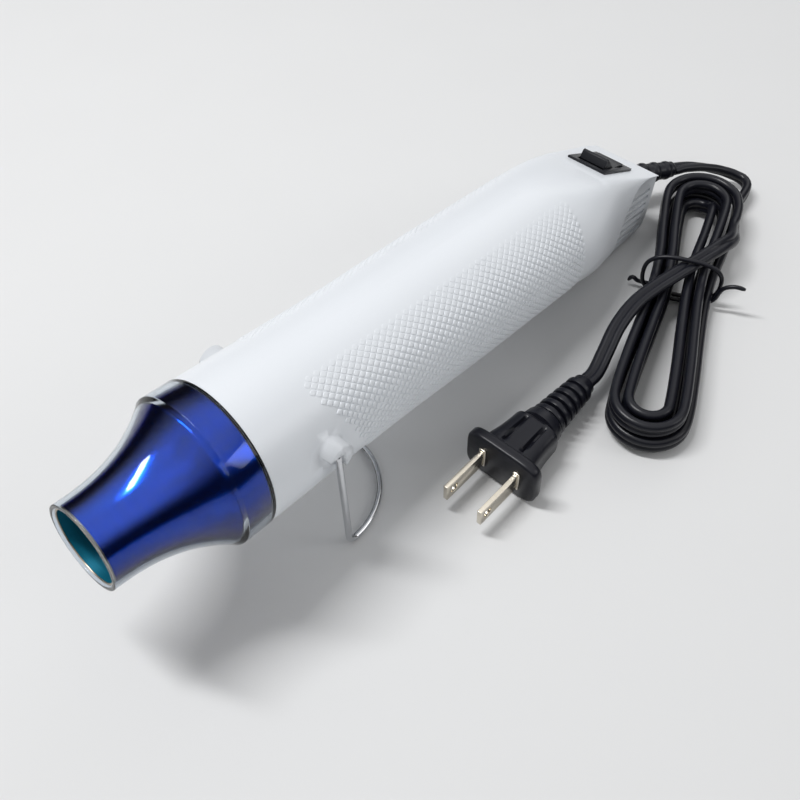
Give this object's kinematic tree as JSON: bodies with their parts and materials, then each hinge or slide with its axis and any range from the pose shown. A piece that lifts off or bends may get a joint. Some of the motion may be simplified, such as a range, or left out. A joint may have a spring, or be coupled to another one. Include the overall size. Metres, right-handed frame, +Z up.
{
  "type": "embossing heat tool",
  "caption": "Slim hand-held embossing heat tool with a flared clear nozzle guard, rocker switch, folding wire stand and tied mains lead.",
  "frame": {"origin": "centre of the bottom of the tool's box without its cord, on the table it stands on", "axes": "+X from the nozzle towards the rear face, tipped nose up by 7 degrees; +Z up; -Y the side with the cord"},
  "size_m": [0.2793, 0.1036, 0.0677],
  "materials": {
    "white_plastic": "satin",
    "clear_guard": "clear gloss",
    "blue_metal": "deep blue anodised",
    "steel": "bright",
    "wire_steel": "bright",
    "mica": "matt",
    "coil_wire": "oxidised",
    "black_plastic": "fine moulded grain",
    "grey_plastic": "matt",
    "brass": "bright",
    "board_green": "satin",
    "lead_red": "satin",
    "cord_black": "satin"
  },
  "bodies": {
    "tool": {"housing_near": "white_plastic", "housing_far": "white_plastic", "housing_screws": "steel", "nozzle_guard": "clear_guard", "nozzle_liner": "blue_metal", "heater_tube": "steel", "tube_flange": "mica", "mica_sleeve": "mica", "mica_core": "mica", "heating_coil": "coil_wire", "thermal_fuse": "steel", "motor_can": "steel", "motor_cap": "black_plastic", "motor_terminals": "brass", "motor_carrier": "grey_plastic", "rectifier_board": "board_green", "diodes": "black_plastic", "switch_case": "black_plastic", "switch_terminals": "brass", "inner_leads": "lead_red", "cord_clamp": "grey_plastic", "strain_relief": "cord_black", "cord_lead": "cord_black", "cord_hank": "cord_black", "cord_tail": "cord_black", "twist_tie": "cord_black", "plug_body": "cord_black", "plug_blades": "steel"},
    "fan": {"fan_impeller": "black_plastic", "motor_shaft": "steel"},
    "rocker": {"switch_rocker": "black_plastic"},
    "stand": {"wire_stand": "wire_steel"}
  },
  "joints": [
    {"name": "stand_fold", "type": "hinge", "parent": "tool", "child": "stand", "pos_m": [-0.05552, 0, 0.045], "axis": [0, 1, 0], "range_deg": [0, 96.9]},
    {"name": "rocker_tilt", "type": "hinge", "parent": "tool", "child": "rocker", "pos_m": [0.09596, 0, 0.03291], "axis": [0, 1, 0], "range_deg": [-20, 0]},
    {"name": "fan_spin", "type": "hinge", "parent": "tool", "child": "fan", "pos_m": [-0.01321, 0, 0.03679], "axis": [0.9926, 0, -0.1217], "continuous": true}
  ]
}
